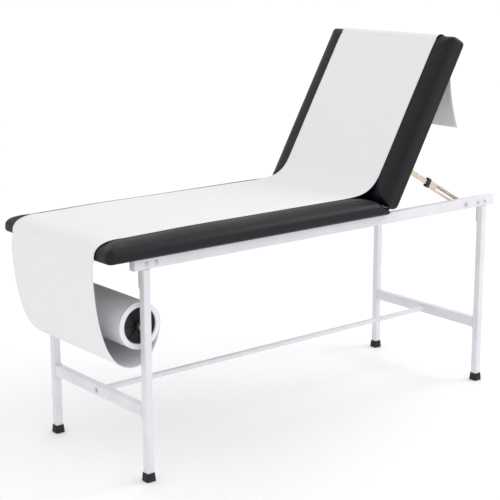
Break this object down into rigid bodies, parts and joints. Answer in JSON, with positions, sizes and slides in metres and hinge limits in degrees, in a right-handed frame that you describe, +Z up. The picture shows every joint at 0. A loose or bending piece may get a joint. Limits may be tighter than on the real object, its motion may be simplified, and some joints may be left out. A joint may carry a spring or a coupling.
{
  "type": "medical exam table",
  "caption": "Padded two-section exam table on a tubular steel frame, with a tilting backrest held by ratchet struts and a paper roll at the foot end.",
  "frame": {"origin": "middle of the table's box, on the floor", "axes": "+X from the foot end to the head end, +Y across the table to its far side, +Z up"},
  "size_m": [1.6814, 0.616, 1.2769],
  "materials": {
    "powder_coat": "white powder coat, semi-gloss",
    "vinyl": "black grained vinyl upholstery, satin",
    "foam": "grey polyurethane foam",
    "plywood": "raw plywood",
    "rubber": "matte black rubber",
    "zinc": "bright zinc plate",
    "zinc_yellow": "yellow passivated zinc, pale beige",
    "plastic_white": "moulded white plastic",
    "plastic_black": "moulded black plastic",
    "paper": "matte white tissue paper",
    "card": "wound grey-brown card"
  },
  "bodies": {
    "frame": {"side_rail_near": "powder_coat", "side_rail_far": "powder_coat", "rail_plug_foot_near": "plastic_white", "rail_plug_foot_far": "plastic_white", "rail_plug_head_near": "plastic_white", "rail_plug_head_far": "plastic_white", "leg_foot_near": "powder_coat", "leg_foot_far": "powder_coat", "leg_head_near": "powder_coat", "leg_head_far": "powder_coat", "rubber_foot_foot_near": "rubber", "rubber_foot_foot_far": "rubber", "rubber_foot_head_near": "rubber", "rubber_foot_head_far": "rubber", "leg_plate_foot_near": "powder_coat", "leg_plate_foot_far": "powder_coat", "leg_plate_head_near": "powder_coat", "leg_plate_head_far": "powder_coat", "crossbar_foot": "powder_coat", "crossbar_head": "powder_coat", "stretcher": "powder_coat", "stretcher_bolt_foot": "zinc", "stretcher_bolt_head": "zinc", "cross_tube_hinge": "powder_coat", "seat_board": "plywood", "seat_foam": "foam", "seat_cover": "vinyl", "hinge_leaf_seat_near": "zinc", "hinge_leaf_seat_far": "zinc", "hinge_pin_near": "zinc", "hinge_pin_far": "zinc", "strut_pivot_bolt_near": "zinc", "strut_pivot_bolt_far": "zinc", "axle_clip_near": "zinc", "axle_clip_far": "zinc", "paper_seat": "paper", "paper_loop": "paper"},
    "backrest": {"back_board": "plywood", "back_foam": "foam", "back_cover": "vinyl", "hinge_leaf_back_near": "zinc", "hinge_leaf_back_far": "zinc", "strut_bracket_near": "zinc_yellow", "strut_bracket_far": "zinc_yellow", "paper_back": "paper"},
    "strut_near": {"strut_channel_near": "zinc_yellow", "strut_collar_near": "plastic_black"},
    "strut_rod_near": {"strut_bar_near": "zinc_yellow", "strut_pin_near": "zinc"},
    "strut_far": {"strut_channel_far": "zinc_yellow", "strut_collar_far": "plastic_black"},
    "strut_rod_far": {"strut_bar_far": "zinc_yellow", "strut_pin_far": "zinc"},
    "roll": {"paper_roll": "paper", "roll_core": "card", "roll_hub_near": "plastic_black", "roll_hub_far": "plastic_black", "roll_axle": "zinc"},
    "paper_tail": {"paper_tail": "paper"}
  },
  "joints": [
    {"name": "backrest_tilt", "type": "hinge", "parent": "frame", "child": "backrest", "pos_m": [0.31465, 0, 0.6985], "axis": [0, -1, 0], "range_deg": [-60, 0]},
    {"name": "strut_near_swing", "type": "hinge", "parent": "frame", "child": "strut_near", "pos_m": [0.69765, -0.2415, 0.677], "axis": [0, 1, 0], "range_deg": [-33, 0]},
    {"name": "strut_near_slide", "type": "slide", "parent": "strut_near", "child": "strut_rod_near", "axis": [-0.8722, 0, 0.4891], "range_m": [-0.097, 0]},
    {"name": "strut_far_swing", "type": "hinge", "parent": "frame", "child": "strut_far", "pos_m": [0.69765, 0.2415, 0.677], "axis": [0, 1, 0], "range_deg": [-33, 0]},
    {"name": "strut_far_slide", "type": "slide", "parent": "strut_far", "child": "strut_rod_far", "axis": [-0.8722, 0, 0.4891], "range_m": [-0.097, 0]},
    {"name": "roll_spin", "type": "hinge", "parent": "frame", "child": "roll", "pos_m": [-0.68085, 0, 0.482], "axis": [0, 1, 0], "continuous": true},
    {"name": "paper_tail_hang", "type": "hinge", "parent": "backrest", "child": "paper_tail", "pos_m": [0.64065, 0, 1.25276], "axis": [0, -1, 0], "range_deg": [0, 60]}
  ],
  "couplings": [
    {"joint": "strut_near_swing", "follows": "backrest_tilt", "ratio": 0.53488},
    {"joint": "strut_near_slide", "follows": "backrest_tilt", "m_per_rad": 0.09187},
    {"joint": "strut_far_swing", "follows": "backrest_tilt", "ratio": 0.53488},
    {"joint": "strut_far_slide", "follows": "backrest_tilt", "m_per_rad": 0.09187},
    {"joint": "paper_tail_hang", "follows": "backrest_tilt", "ratio": -1}
  ]
}
